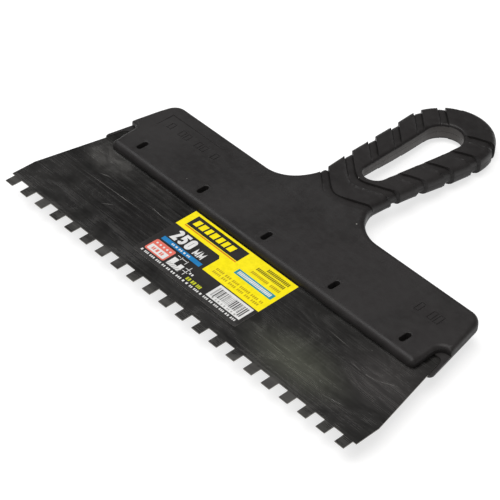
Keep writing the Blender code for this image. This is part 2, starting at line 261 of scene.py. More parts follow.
def band_depth(p):
    """(depth, strip) of the sunken strips: depth in mm, strip 0 or 1."""
    depth = np.zeros(len(p))
    strip = np.zeros(len(p))
    for k in range(BAND_N):
        d = band_line(p[:, 0], k) - p[:, 1]
        rise = smooth(d / STEP)
        wide = STEP * (1.4 + 2.6 * smooth((p[:, 0] - 1.0) / 7.0))
        fall = smooth((BAND_W - d) / wide)
        on = np.minimum(rise, fall)
        t = np.clip(d / BAND_W, 0.0, 1.0)
        floor_z = BAND_DEEP + (BAND_SHALLOW - BAND_DEEP) * t
        floor_z += GROOVE * (1.0 - smooth((d - STEP) / 0.7))
        floor_z += (0.52 * smooth((d - BAND_W + 1.1) / 0.6)
                    * smooth((-p[:, 0] - 2.0) / 6.0))
        depth = np.maximum(depth, on * floor_z)
        # a raised band is highest at its sharp end
        lean = np.clip(-d / (BAND_PITCH - BAND_W), 0.0, 1.0)
        on = smooth(-d / 0.3) * smooth((BAND_PITCH - BAND_W + d) / 0.3)
        depth = np.maximum(depth, on * BAND_LEAN * lean)
        strip = np.maximum(strip, ((d > 0.0) & (d < BAND_W)).astype(float))
        # the raised band swells slightly towards its sharp end
    return depth, strip


def round_off(d, r):
    t = np.clip(1.0 - d / r, 0.0, 1.0)
    return r * (1.0 - np.sqrt(np.maximum(0.0, 1.0 - t * t)))


# -------------------------------------------------------------- mesh tools


def triangulate(loops, rings, lines, loose):
    verts, edges = [], []
    for loop in loops:
        base = len(verts)
        verts += [Vector(q) for q in loop]
        edges += [(base + i, base + (i + 1) % len(loop))
                  for i in range(len(loop))]
    for pts, good in rings:
        index = {}
        for i, q in enumerate(pts):
            if good[i]:
                index[i] = len(verts)
                verts.append(Vector(q))
        for i in range(len(pts)):
            j = (i + 1) % len(pts)
            if i in index and j in index:
                edges.append((index[i], index[j]))
    for ln in lines:
        base = len(verts)
        verts += [Vector(q) for q in ln]
        edges += [(base + i, base + i + 1) for i in range(len(ln) - 1)]
    verts += [Vector(q) for q in loose]
    v, _, f, _, _, _ = delaunay_2d_cdt(verts, edges, [], 0, 1e-4)
    return np.array([(q.x, q.y) for q in v]), [tuple(t) for t in f]


def link(name, mesh):
    obj = bpy.data.objects.new(name, mesh)
    bpy.context.scene.collection.objects.link(obj)
    return obj


def make_object(name, verts, faces, mats, index=None, sharp=35.0):
    mesh = bpy.data.meshes.new(name)
    mesh.from_pydata([(x * MM, (y - CY) * MM, (z - CZ) * MM)
                      for x, y, z in verts], [], faces)
    mesh.validate()
    mesh.update()
    for m in mats:
        mesh.materials.append(m)
    if index is not None:
        for poly, i in zip(mesh.polygons, index):
            poly.material_index = i
    mesh.shade_smooth()
    mesh.set_sharp_from_angle(angle=math.radians(sharp))
    return link(name, mesh)


def sheet_solid(p, faces, top, bottom):
    used = np.unique(np.array(faces).ravel())
    remap = np.full(len(p), -1)
    remap[used] = np.arange(len(used))
    m = len(used)
    verts = [(p[i, 0], p[i, 1], top[i]) for i in used]
    verts += [(p[i, 0], p[i, 1], bottom[i]) for i in used]
    out, edge = [], set()
    for f in faces:
        (xa, ya), (xb, yb), (xc, yc) = p[f[0]], p[f[1]], p[f[2]]
        a = [int(remap[i]) for i in f]
        if (xb - xa) * (yc - ya) - (xc - xa) * (yb - ya) < 0:
            a.reverse()
        out.append(tuple(a))
        out.append(tuple(i + m for i in reversed(a)))
        for i in range(3):
            edge.add((a[i], a[(i + 1) % 3]))
    for (i, j) in edge:
        if (j, i) not in edge:
            out.append((i, i + m, j + m, j))
    return verts, out


# low-relief lines moulded into the holder: a corner frame on the left, a
# short rule on the right, and rows of plain hollow marks beside them
RELIEF = [[(-103.3, 82.0), (-103.3, 96.0), (-58.5, 96.0)],
          [(81.5, 95.6), (102.5, 95.6)]]
MARKS = []
for n_mark, x_mark, w_mark, y_lo, y_hi in ((9, -98.0, 4.25, 86.9, 91.3),
                                           (4, 84.0, 4.1, 84.4, 90.2)):
    for i_mark in range(n_mark):
        a_mark = x_mark + i_mark * w_mark
        b_mark = a_mark + w_mark * 0.62
        if i_mark % 3 == 1:
            MARKS.append([(a_mark, y_lo), (b_mark, y_hi)])
        else:
            MARKS.append([(a_mark, y_lo), (b_mark, y_lo), (b_mark, y_hi),
                          (a_mark, y_hi), (a_mark, y_lo)])


def relief_height(p):
    h = np.zeros(len(p))
    for run in RELIEF:
        d = seg_distance(p, run, closed=False)
        h -= 0.42 * smooth((0.34 - d) / 0.16)
    for run in MARKS:
        near = ((np.abs(p[:, 0] - run[0][0]) < 6)
                & (np.abs(p[:, 1] - run[0][1]) < 9))
        if near.any():
            d = seg_distance(p[near], run, closed=False)
            h[near] -= 0.26 * smooth((0.36 - d) / 0.16)
    return h


def beside(run, offs):
    """Straight guide lines beside every leg of a run."""
    out = []
    for (xa, ya), (xb, yb) in zip(run[:-1], run[1:]):
        n = math.hypot(xb - xa, yb - ya)
        ux, uy = (xb - xa) / n, (yb - ya) / n
        for o in offs:
            out.append([(xa - uy * o - ux * 0.3, ya + ux * o - uy * 0.3),
                        (xb - uy * o + ux * 0.3, yb + ux * o + uy * 0.3)])
    return out


def moulding(name, half, upper, mats):
    outer = mirror_close(half)
    hole = hole_loop()
    hole_grown = inset(hole, -0.3)[0]
    set_in, ok_in = inset(outer, BAND_SIDE)
    grip = set_in[:, 1] > BAND_Y - 1.0
    loops = [outer, hole]
    rings = [(set_in, ok_in & grip)]
    holes = [hole]
    wins = []
    if upper:
        wins = [obround(i * WINDOW_PITCH, WINDOW_Y, WINDOW_L, WINDOW_W)
                for i in range(-2, 3)]
        loops += wins
        holes += wins
    radius = EDGE_R
    for t in (0.03, 0.09, 0.17, 0.27, 0.38, 0.5, 0.62, 0.75, 0.88, 1.0):
        q, g = inset(outer, radius * t)
        rings.append((q, g))
        q, g = inset(set_in, radius * t)
        rings.append((q, g & (q[:, 1] > BAND_Y + 6.0)))
    for t in (0.06, 0.2, 0.4, 0.65, 1.0):
        q, g = inset(list(reversed(hole)), HOLE_R * t)
        rings.append((q, g))
        for w in wins:
            q, g = inset(list(reversed(w)), WIN_R * t)
            rings.append((q, g))
    if not upper:
        for g in (CLEAR, CLEAR + 0.08):
            loops.append(pocket_outline(g))
        for i in range(-2, 3):
            for g in (0.0, 0.08):
                loops.append(obround(i * WINDOW_PITCH, WINDOW_Y,
                                     BOSS_L + g, BOSS_W + g, 6))
    lines = []
    for k in range(BAND_N):
        offs = [STEP * t for t in (0.0, 0.2, 0.4, 0.6, 0.8, 1.0)]
        offs += [STEP + 0.7 * t for t in (0.25, 0.5, 0.75, 1.0)]
        offs += [-0.3]
        offs += [BAND_W - STEP * 1.4 * t for t in (1.0, 0.75, 0.5, 0.25, 0.0)]
        offs += [BAND_W - 1.1, BAND_W - 0.9, BAND_W - 0.7, BAND_W - 0.5]
        for off in offs:
            xs = np.concatenate([np.linspace(-28, -6, 40),
                                 np.linspace(-5.5, 5.5, 23),
                                 np.linspace(6, 28, 40)])
            ys = band_line(xs, k) - off
            good = (np.abs(xs) < 27.8) & (ys < GRIP_END_Y + 4)
            good &= ~((np.abs(xs) > 22.5) & (ys < 128))
            run = [(float(x), float(y)) for x, y, g in zip(xs, ys, good) if g]
            if len(run) > 1:
                lines.append(run)
    pts = []
    for y in np.arange(LIP_Y + 4.0, 112.0, 2.6):
        for x in np.arange(-116.0, 116.1, 2.6):
            pts.append((x, y))
    for y in np.arange(112.0, GRIP_END_Y, 1.3):
        for x in np.arange(-40.3, 40.4, 1.3):
            pts.append((x, y))
    if upper:
        for run in RELIEF + MARKS:
            lines += beside(run, (-0.35, -0.18, 0.18, 0.35))
    g = np.array(pts)
    keep = inside(g, outer) & (seg_distance(g, outer) > radius + 0.5)
    if upper:
        for run in RELIEF:
            keep &= seg_distance(g, run, closed=False) > 0.7
        keep &= ~((g[:, 1] > 83.5) & (g[:, 1] < 92.2)
                  & (((g[:, 0] > -99) & (g[:, 0] < -58.5))
                     | ((g[:, 0] > 83) & (g[:, 0] < 101))))
    for lp in holes:
        keep &= ~inside(g, lp) & (seg_distance(g, lp) > 0.8)
    for k in range(BAND_N):
        d = band_line(g[:, 0], k) - g[:, 1]
        keep &= ~((d > -0.5) & (d < STEP + 1.0))
        keep &= ~((d > BAND_W - 1.4) & (d < BAND_W + 0.3))
    p, faces = triangulate(loops, rings, lines, g[keep].tolist())

    fa = np.array([f[:3] for f in faces])
    mid = p[fa].mean(axis=1)
    inner = inside(mid, outer)
    for lp in holes:
        inner &= ~inside(mid, lp)
    _, strip_mid = band_depth(mid)
    low = (strip_mid > 0.5) & (mid[:, 1] > GRIP_Y0 - 1.0)
    inner &= ~(low & ~inside(mid, set_in))
    faces = [f for f, k in zip(faces, inner) if k]

    x, y = p[:, 0], p[:, 1]
    depth, strip = band_depth(p)
    fade = smooth((y - 110.0) / 8.0)
    d_out = seg_distance(p, outer)
    in_set = inside(p, set_in)
    d_in = np.where(in_set, seg_distance(p, set_in), 0.0)
    d_edge = np.where((strip > 0.5) & (y > GRIP_Y0 - 1.0), d_in, d_out)
    d_edge = np.where(inside(p, outer), d_edge, 0.0)
    d_hole = seg_distance(p, hole)
    if upper:
        blend = smooth((y - 98.0) / 20.0)
        body = TOP_HOLD + (TOP_GRIP - TOP_HOLD) * blend
        body = body + END_SWELL * smooth((y - 176.0) / 28.0)
    else:
        blend = smooth((y - 128.0) / 50.0)
        body = BOT_HOLD + (BOT_GRIP - BOT_HOLD) * blend
    height = body - HOLE_DIP * blend * (1.0 - smooth(d_hole / 6.0))
    r_out = (LIP_ROUND + (HOLD_R - LIP_ROUND) * smooth((y - 62.0) / 6.0)
             + (REAR_R - HOLD_R) * smooth((y - 92.0) / 8.0)
             + (EDGE_R - REAR_R) * smooth((y - 112.0) / 16.0))
    r_out = np.minimum(r_out, height - 0.8)
    skin = height - round_off(d_edge, r_out) - round_off(d_hole, HOLE_R)
    skin -= depth * fade * (0.3 + 0.7 * smooth((d_hole - 0.6) / 3.0))
    level = seam_z(y)
    if upper:
        for w in wins:
            skin -= round_off(seg_distance(p, w), WIN_R)
        skin += relief_height(p)
        joint = level + JOINT
        skin = np.maximum(level + skin, level + JOINT + 0.35)
        v, f = sheet_solid(p, faces, skin, joint)
    else:
        joint = level + 0.0 * y
        pocket = inside(p, pocket_outline(CLEAR + 0.04))
        joint = np.where(pocket, -BLADE_T - 0.05, joint)
        for i in range(-2, 3):
            boss = inside(p, obround(i * WINDOW_PITCH, WINDOW_Y,
                                     BOSS_L + 0.04, BOSS_W + 0.04, 6))
            joint = np.where(boss, BOSS_TOP, joint)
        skin = np.minimum(level - skin, level - 1.15)
        v, f = sheet_solid(p, faces, joint, skin)
    wall = []
    va = np.array(v)
    for face in f:
        if len(face) == 4:
            mid = va[list(face)][:, :2].mean(axis=0)
            wall.append(1 if (abs(mid[0]) < 12.0 and 133.0 < mid[1] < 208.0
                              and inside(mid[None], hole_grown)[0]) else 0)
        else:
            wall.append(0)
    return make_object(name, v, f, mats, wall)


# --------------------------------------------------------------- materials


class Nodes:
    """Small helper that lays out a Principled material."""

    def __init__(self, name):
        self.mat = bpy.data.materials.new(name)
        self.mat.use_nodes = True
        self.t = self.mat.node_tree
        self.bsdf = self.t.nodes["Principled BSDF"]
        self.pos = self.t.nodes.new("ShaderNodeTexCoord").outputs["Object"]

    def node(self, kind, **props):
        n = self.t.nodes.new(kind)
        for k, v in props.items():
            setattr(n, k, v)
        return n

    def link(self, a, b):
        self.t.links.new(a, b)

    def scaled(self, vec, scale, rot=(0, 0, 0), loc=(0, 0, 0)):
        n = self.node("ShaderNodeMapping")
        n.inputs["Location"].default_value = loc
        n.inputs["Rotation"].default_value = rot
        n.inputs["Scale"].default_value = scale
        self.link(vec, n.inputs["Vector"])
        return n.outputs["Vector"]

    def noise(self, vec, scale, detail=3.0, rough=0.55, distortion=0.0):
        n = self.node("ShaderNodeTexNoise")
        n.inputs["Scale"].default_value = scale
        n.inputs["Detail"].default_value = detail
        n.inputs["Roughness"].default_value = rough
        n.inputs["Distortion"].default_value = distortion
        self.link(vec, n.inputs["Vector"])
        return n.outputs["Fac"]

    def ramp(self, fac, lo, hi, a=0.0, b=1.0, mode="SMOOTHSTEP"):
        n = self.node("ShaderNodeMapRange", interpolation_type=mode)
        n.inputs["From Min"].default_value = lo
        n.inputs["From Max"].default_value = hi
        n.inputs["To Min"].default_value = a
        n.inputs["To Max"].default_value = b
        self.link(fac, n.inputs["Value"])
        return n.outputs["Result"]

    def math(self, op, a, b=0.0, c=0.0, clamp=False):
        n = self.node("ShaderNodeMath", operation=op, use_clamp=clamp)
        for i, v in enumerate((a, b, c)):
            if hasattr(v, "links"):
                self.link(v, n.inputs[i])
            else:
                n.inputs[i].default_value = v
        return n.outputs["Value"]

    def mix(self, fac, a, b, kind="MIX"):
        n = self.node("ShaderNodeMix", data_type="RGBA", blend_type=kind)
        for sock, v in ((n.inputs[0], fac), (n.inputs[6], a), (n.inputs[7], b)):
            if hasattr(v, "links"):
                self.link(v, sock)
            elif isinstance(v, (int, float)):
                sock.default_value = v
            else:
                sock.default_value = (*v, 1.0)
        return n.outputs[2]

    def bump(self, height, strength, distance, normal=None):
        n = self.node("ShaderNodeBump")
        n.inputs["Strength"].default_value = strength
        n.inputs["Distance"].default_value = distance
        self.link(height, n.inputs["Height"])
        if normal is not None:
            self.link(normal, n.inputs["Normal"])
        return n.outputs["Normal"]

    def near(self, centre, radius, soft=1.0, squash=(1, 1, 1), rot=0.0):
        """1 at a point in the row frame, falling to 0 at radius (m)."""
        v = self.node("ShaderNodeVectorMath", operation="SUBTRACT")
        v.inputs[1].default_value = centre
        self.link(self.pos, v.inputs[0])
        vec = self.scaled(v.outputs["Vector"], squash, rot=(0, 0, rot))
        d = self.node("ShaderNodeVectorMath", operation="LENGTH")
        self.link(vec, d.inputs[0])
        return self.ramp(d.outputs["Value"], radius, radius * (1 - soft))


def plastic(name, light, rough, tint=(1.0, 0.915, 0.925)):
    m = Nodes(name)
    patch = m.noise(m.pos, 22.0, 4.0, 0.6, 0.4)
    fine = m.noise(m.pos, 260.0, 3.0, 0.6)
    grain = m.noise(m.pos, 2600.0, 2.0, 0.5)
    a = tuple(light * c for c in tint)
    b = tuple(light * 1.45 * (c + 0.02) for c in tint)
    col = m.mix(m.ramp(patch, 0.35, 0.68), a, b)
    col = m.mix(m.ramp(fine, 0.3, 0.75, 0.0, 0.35), col,
                tuple(light * 1.7 * c for c in (1.0, 0.96, 0.94)))
    # dust: few, tiny, pale
    dust = m.node("ShaderNodeTexVoronoi", feature="F1")
    dust.inputs["Scale"].default_value = 85.0
    m.link(m.pos, dust.inputs["Vector"])
    sep = m.node("ShaderNodeSeparateColor")
    m.link(dust.outputs["Color"], sep.inputs["Color"])
    size = m.ramp(sep.outputs["Green"], 0.0, 1.0, 0.012, 0.05, "LINEAR")
    speck = m.math("LESS_THAN", dust.outputs["Distance"], size)
    rare = m.math("GREATER_THAN", sep.outputs["Red"], 0.85)
    speck = m.math("MULTIPLY", speck, rare)
    col = m.mix(m.math("MULTIPLY", speck, 0.6), col, (0.45, 0.44, 0.41))
    # fine rubbed lines
    rub = m.noise(m.scaled(m.pos, (60.0, 520.0, 60.0), rot=(0, 0, 0.9)), 1.0,
                  3.0, 0.6, 1.2)
    col = m.mix(m.ramp(rub, 0.52, 0.74, 0.0, 0.30), col,
                tuple(light * 2.2 * c for c in (1.0, 0.97, 0.95)))
    # two paler patches on the left of the holder's top: painted sheen
    painted_sheen = m.math("MAXIMUM", m.near((-0.028, -0.024, 0.0169), 0.05, 1.0,
                                    (0.8, 1.2, 1)),
                  m.near((-0.095, -0.028, 0.0169), 0.04, 1.0, (1, 1, 1)))
    col = m.mix(m.math("MULTIPLY", painted_sheen, 0.30), col,
                tuple(light * 2.1 * c for c in (1.0, 0.97, 0.96)))
    m.link(col, m.bsdf.inputs["Base Color"])
    r = m.ramp(patch, 0.3, 0.7, rough - 0.05, rough + 0.07)
    r = m.math("ADD", r, m.ramp(fine, 0.3, 0.7, -0.05, 0.05))
    m.link(r, m.bsdf.inputs["Roughness"])
    n = m.bump(grain, 0.22, 0.00006)
    n = m.bump(m.noise(m.pos, 95.0, 2.0), 0.10, 0.0004, n)
    m.link(n, m.bsdf.inputs["Normal"])
    m.bsdf.inputs["IOR"].default_value = 1.46
    m.bsdf.inputs["Specular IOR Level"].default_value = 0.26
    return m.mat


def steel(name):
    m = Nodes(name)
    m.bsdf.inputs["Metallic"].default_value = 1.0
    z = 0.0128

    def at(x, y):
        return (x * MM, (y - CY) * MM, z)

    def streak(p, q, width, soft=0.9):
        """1 on a hair line between two points (mm) and 0 off it."""
        mid = at((p[0] + q[0]) / 2, (p[1] + q[1]) / 2)
        ln = math.hypot(q[0] - p[0], q[1] - p[1]) / 2 * MM
        a = math.atan2(q[1] - p[1], q[0] - p[0])
        v = m.node("ShaderNodeVectorMath", operation="SUBTRACT")
        v.inputs[1].default_value = mid
        m.link(m.pos, v.inputs[0])
        vec = m.scaled(m.scaled(v.outputs["Vector"], (1, 1, 1),
                                rot=(0, 0, -a)),
                       (1 / ln, 2 / (width * MM), 0.0))
        d = m.node("ShaderNodeVectorMath", operation="LENGTH")
        m.link(vec, d.inputs[0])
        return m.ramp(d.outputs["Value"], 1.0, 1.0 - soft)

    # rolling lines along X, broken up at several scales
    fine = m.noise(m.scaled(m.pos, (9.0, 1500.0, 9.0)), 1.0, 4.0, 0.6)
    wide = m.noise(m.scaled(m.pos, (5.0, 300.0, 5.0)), 1.0, 4.0, 0.65)
    cloud = m.noise(m.pos, 26.0, 5.0, 0.62, 0.9)
    blot = m.noise(m.pos, 75.0, 4.0, 0.6, 1.4)
    smear = m.noise(m.scaled(m.pos, (30.0, 60.0, 30.0), rot=(0, 0, 0.5)), 1.0,
                    6.0, 0.7, 1.6)
    # the steel's ground tone is kept very dark: painted shade standing in for the
    # dark surroundings the blade reflects
    base = m.mix(m.ramp(cloud, 0.33, 0.68), (0.058, 0.0565, 0.055),
                 (0.090, 0.0875, 0.0845))
    base = m.mix(m.ramp(blot, 0.50, 0.66, 0.0, 0.5), base,
                 (0.104, 0.101, 0.097))
    base = m.mix(m.ramp(wide, 0.46, 0.72, 0.0, 0.22), base,
                 (0.20, 0.195, 0.187))
    base = m.mix(m.ramp(fine, 0.50, 0.78, 0.0, 0.20), base,
                 (0.25, 0.245, 0.235))
    sepx = m.node("ShaderNodeSeparateXYZ")
    m.link(m.pos, sepx.inputs["Vector"])
    # handling haze on the right-hand half
    half = m.ramp(sepx.outputs["X"], -0.01, 0.07)
    base = m.mix(m.math("MULTIPLY", half, m.ramp(smear, 0.3, 0.7, 0.15, 0.6)),
                 base, (0.128, 0.125, 0.120))
    base = m.mix(m.math("MULTIPLY", m.near(at(70.0, 22.0), 0.034, 1.0,
                                           (0.8, 1.7, 1), 0.08), 0.62),
                 base, (0.36, 0.375, 0.295))
    base = m.mix(m.math("MULTIPLY", m.near(at(104.0, 44.0), 0.034, 1.0,
                                           (1, 1.3, 1)), 0.40),
                 base, (0.30, 0.28, 0.275))
    # a paler halo on the blade by the left corner of the holder: painted reflection
    # of that corner
    painted_corner_reflection = m.math("MULTIPLY",
                  m.near(at(-100.0, 52.0), 0.018, 0.9, (0.8, 1.2, 1), 0.4),
                  m.ramp(blot, 0.3, 0.6, 0.35, 1.0))
    base = m.mix(m.math("MULTIPLY", painted_corner_reflection, 0.75), base, (0.40, 0.39, 0.37))
    # wear along the teeth
    wear = m.ramp(sepx.outputs["Y"], (10.0 - CY) * MM, (2.0 - CY) * MM)
    base = m.mix(m.math("MULTIPLY", wear, m.ramp(smear, 0.3, 0.7, 0.12, 0.42)),
                 base, (0.205, 0.198, 0.182))
    # dark stains
    base = m.mix(m.math("MULTIPLY", m.near(at(-56.0, 31.0), 0.016, 0.8,
                                           (0.6, 1.0, 1), 0.5), 0.55),
                 base, (0.060, 0.056, 0.056))
    base = m.mix(m.math("MULTIPLY", m.near(at(43.0, 32.0), 0.014, 0.9,
                                           (0.8, 1.2, 1)), 0.35),
                 base, (0.085, 0.082, 0.08))
    # hair scratches: thin slices of stretched noise at several angles
    total = None
    for ang, dens, off in ((0.05, 0.030, 1.0), (-0.22, 0.018, 5.0),
                           (0.62, 0.014, 9.0), (1.32, 0.008, 13.0)):
        v = m.scaled(m.pos, (14.0, 620.0, 1.0), rot=(0, 0, ang),
                     loc=(off, off * 0.7, 0))
        n1 = m.noise(v, 1.0, 1.0, 0.4)
        lim = m.noise(m.scaled(m.pos, (40, 40, 40), loc=(off, 0, 0)), 1.0, 2.0)
        thin = m.math("LESS_THAN", m.math("ABSOLUTE",
                                          m.math("SUBTRACT", n1, 0.5)), dens)
        thin = m.math("MULTIPLY", thin, m.ramp(lim, 0.54, 0.66))
        total = thin if total is None else m.math("MAXIMUM", total, thin)
    base = m.mix(m.math("MULTIPLY", total, 0.12), base, (0.42, 0.41, 0.39))
    # single long scratches
    deep = None
    for p, q, w in (((-113.9, 34.7), (-52.2, 36.7), 0.34),
                    ((-96.8, 39.4), (-88.0, 42.1), 0.5),
                    ((-78.0, 24.0), (-70.0, 30.0), 0.3),
                    ((-62.0, 42.5), (-44.0, 41.0), 0.3),
                    ((86.0, 40.2), (96.0, 39.2), 0.36),
                    ((95.0, 39.2), (103.5, 40.2), 0.36),
                    ((102.5, 40.0), (114.0, 45.6), 0.34),
                    ((60.0, 47.5), (84.0, 46.0), 0.30),
                    ((90.0, 15.0), (108.0, 19.0), 0.30)):
        k = streak(p, q, w)
        deep = k if deep is None else m.math("MAXIMUM", deep, k)
    base = m.mix(m.math("MULTIPLY", deep, 0.85), base, (0.80, 0.78, 0.74))
    # dust and specks
    sp = None
    for scale, size, keep in ((260.0, 0.085, 0.90), (150.0, 0.055, 0.88)):
        vor = m.node("ShaderNodeTexVoronoi", feature="F1")
        vor.inputs["Scale"].default_value = scale
        m.link(m.pos, vor.inputs["Vector"])
        sep = m.node("ShaderNodeSeparateColor")
        m.link(vor.outputs["Color"], sep.inputs["Color"])
        k = m.math("MULTIPLY",
                   m.math("LESS_THAN", vor.outputs["Distance"], size),
                   m.math("GREATER_THAN", sep.outputs["Red"], keep))
        sp = k if sp is None else m.math("MAXIMUM", sp, k)
    zone = m.math("MAXIMUM", m.ramp(m.noise(m.pos, 18.0, 2.0), 0.52, 0.64),
                  m.near(at(93.0, 32.0), 0.034, 0.7))
    sp = m.math("MULTIPLY", sp, zone)
    base = m.mix(m.math("MULTIPLY", sp, 0.6), base, (0.60, 0.58, 0.54))
    m.link(base, m.bsdf.inputs["Base Color"])
    r = m.ramp(smear, 0.30, 0.72, 0.17, 0.30)
    r = m.math("ADD", r, m.ramp(fine, 0.3, 0.7, -0.03, 0.04))
    r = m.math("ADD", r, m.math("MULTIPLY", wear, 0.08))
    m.link(r, m.bsdf.inputs["Roughness"])
    n = m.bump(fine, 0.04, 0.00001)
    n = m.bump(wide, 0.04, 0.00002, n)
    n = m.bump(m.noise(m.pos, 30.0, 2.0), 0.04, 0.0003, n)
    m.link(n, m.bsdf.inputs["Normal"])
    return m.mat


def cut_edge(name):
    """The sheared edge of the sheet: brighter, finely lined."""
    m = Nodes(name)
    m.bsdf.inputs["Metallic"].default_value = 1.0
    v = m.noise(m.scaled(m.pos, (900.0, 900.0, 60.0)), 1.0, 3.0)
    m.link(m.mix(v, (0.30, 0.29, 0.27), (0.50, 0.49, 0.46)),
           m.bsdf.inputs["Base Color"])
    m.link(m.ramp(v, 0.2, 0.8, 0.30, 0.48), m.bsdf.inputs["Roughness"])
    return m.mat


def print_ink(name, colour, vary=0.06, rough=0.33):
    """Printed film: faint mottling and a slightly uneven gloss."""
    m = Nodes(name)
    v = m.noise(m.pos, 420.0, 3.0)
    w = m.noise(m.pos, 60.0, 2.0)
    lo = tuple(c * (1.0 - vary) for c in colour)
    hi = tuple(min(1.0, c * (1.0 + vary) + 0.002) for c in colour)
    m.link(m.mix(m.ramp(v, 0.3, 0.7), lo, hi), m.bsdf.inputs["Base Color"])
    m.link(m.ramp(w, 0.3, 0.7, rough - 0.05, rough + 0.08),
           m.bsdf.inputs["Roughness"])
    m.link(m.bump(w, 0.08, 0.0002), m.bsdf.inputs["Normal"])
    m.bsdf.inputs["Specular IOR Level"].default_value = 0.28
    return m.mat


BLACK = plastic("mat_plastic_upper", 0.0132, 0.45, (1.0, 0.905, 0.90))
DARK = plastic("mat_plastic_lower", 0.0120, 0.47, (1.0, 0.905, 0.90))
BORE = plastic("mat_plastic_bore", 0.048, 0.42, (1.0, 0.90, 0.84))
STEEL = steel("mat_steel")
EDGE = cut_edge("mat_steel_edge")

# ------------------------------------------------------------------ mouldings
up = moulding("grip_upper_skin", upper_half(), True, [BLACK, BORE])
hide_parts("grip_upper")
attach(up, "root")

low = moulding("grip_lower_skin", lower_half(), False, [DARK, BORE])
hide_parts("grip_lower")
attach(low, "root")

# ---------------------------------------------------------------------- blade


def blade_outline():
    """Toothed outline with the tiny corner radii of a punched sheet."""
    r = 0.25
    raw = [(0.0, 0.0)]
    reach = (TOOTH_N - 1) // 2
    for i in range(reach):
        edge = i * TOOTH_PITCH + TOOTH_W / 2.0
        gap = (i + 1) * TOOTH_PITCH - TOOTH_W / 2.0
        raw += [(edge, 0.0), (edge, TOOTH_DEPTH), (gap, TOOTH_DEPTH),
                (gap, 0.0)]
    edge = reach * TOOTH_PITCH + TOOTH_W / 2.0
    raw += [(edge, 0.0), (edge, TOOTH_DEPTH), (BLADE_W / 2.0, TOOTH_DEPTH),
            (BLADE_W / 2.0, SHOULDER_Y)]
    raw += [(blade_side(BLADE_BACK_Y), BLADE_BACK_Y)]
    raw += [(0.0, BLADE_BACK_Y)]
    half = [raw[0]]
    for i in range(1, len(raw) - 1):
        rad = r
        if i == len(raw) - 2:
            rad = BLADE_BACK_R
        half += fillet(raw[i - 1], raw[i], raw[i + 1], rad,
                       3 if rad == r else 12)
    for i in (2, 1):
        cx = i * WINDOW_PITCH
        cy = WINDOW_Y - (WINDOW_L - SLOT_W) / 2.0
        half += [(cx + SLOT_W / 2.0, BLADE_BACK_Y)]
        half += arc(cx, cy, SLOT_W / 2.0, SLOT_W / 2.0, 0, -180, 12)
        half += [(cx - SLOT_W / 2.0, BLADE_BACK_Y)]
    cy = WINDOW_Y - (WINDOW_L - SLOT_W) / 2.0
    half += [(SLOT_W / 2.0, BLADE_BACK_Y)]
    half += arc(0, cy, SLOT_W / 2.0, SLOT_W / 2.0, 0, -90, 6)
    return mirror_close(half)


def blade_piece():
    """Sheet with softened punched edges; the cut edge has its own finish."""
    loop = blade_outline()
    a, ok = inset(loop, 0.07)
    n = len(a)
    keep = [loop[0]]
    for q in loop[1:]:
        if math.hypot(q[0] - keep[-1][0], q[1] - keep[-1][1]) > 1e-3:
            keep.append(q)
    outer = np.array(keep)
    pts, tri = triangulate([a.tolist()], [], [], [])
    mid = np.array([pts[list(f)].mean(axis=0) for f in tri])
    tri = [f for f, k in zip(tri, inside(mid, a)) if k]
    verts = [(x, y, 0.0) for x, y in pts[:n]]
    verts += [(x, y, -0.06) for x, y in outer]
    verts += [(x, y, -BLADE_T + 0.06) for x, y in outer]
    verts += [(x, y, -BLADE_T) for x, y in pts[:n]]
    faces, index = [], []
    for f in tri:
        (xa, ya), (xb, yb), (xc, yc) = pts[f[0]], pts[f[1]], pts[f[2]]
        f = list(f)
        if (xb - xa) * (yc - ya) - (xc - xa) * (yb - ya) < 0:
            f.reverse()
        faces.append(tuple(f))
        index.append(0)
        faces.append(tuple(i + 3 * n for i in reversed(f)))
        index.append(0)
    for i in range(n):
        j = (i + 1) % n
        for k in range(3):
            faces.append((i + k * n, i + (k + 1) * n, j + (k + 1) * n,
                          j + k * n))
            index.append(1)
    obj = make_object("blade_sheet", verts, faces, [STEEL, EDGE], index,
                      50.0)
    for poly in obj.data.polygons:
        if poly.material_index == 0:
            poly.use_smooth = False
    return obj


blade = blade_piece()
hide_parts("blade")
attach(blade, "root")

# ---------------------------------------------------------------------- label
INKS = {
    "black": print_ink("mat_ink_black", (0.015, 0.0138, 0.013)),
    "yellow": print_ink("mat_ink_yellow", (0.78, 0.66, 0.0015)),
    "white": print_ink("mat_ink_white", (0.62, 0.62, 0.61)),
    "blue": print_ink("mat_ink_blue", (0.009, 0.165, 0.40)),
    "teal": print_ink("mat_ink_teal", (0.016, 0.235, 0.30)),
    "red": print_ink("mat_ink_red", (0.50, 0.065, 0.04)),
    "pink": print_ink("mat_ink_pink", (0.62, 0.135, 0.10)),
    "orange": print_ink("mat_ink_orange", (0.55, 0.15, 0.01)),
    "olive": print_ink("mat_ink_olive", (0.17, 0.14, 0.004)),
    "ochre": print_ink("mat_ink_ochre", (0.40, 0.29, 0.004)),
    "lime": print_ink("mat_ink_lime", (0.45, 0.48, 0.02)),
    "grey": print_ink("mat_ink_grey", (0.26, 0.26, 0.25)),
    "film": print_ink("mat_film", (0.030, 0.029, 0.028), 0.1, 0.22),
    "film_edge": print_ink("mat_film_edge", (0.45, 0.44, 0.41), 0.1, 0.3),
}
INK_ID = {k: i for i, k in enumerate(INKS)}


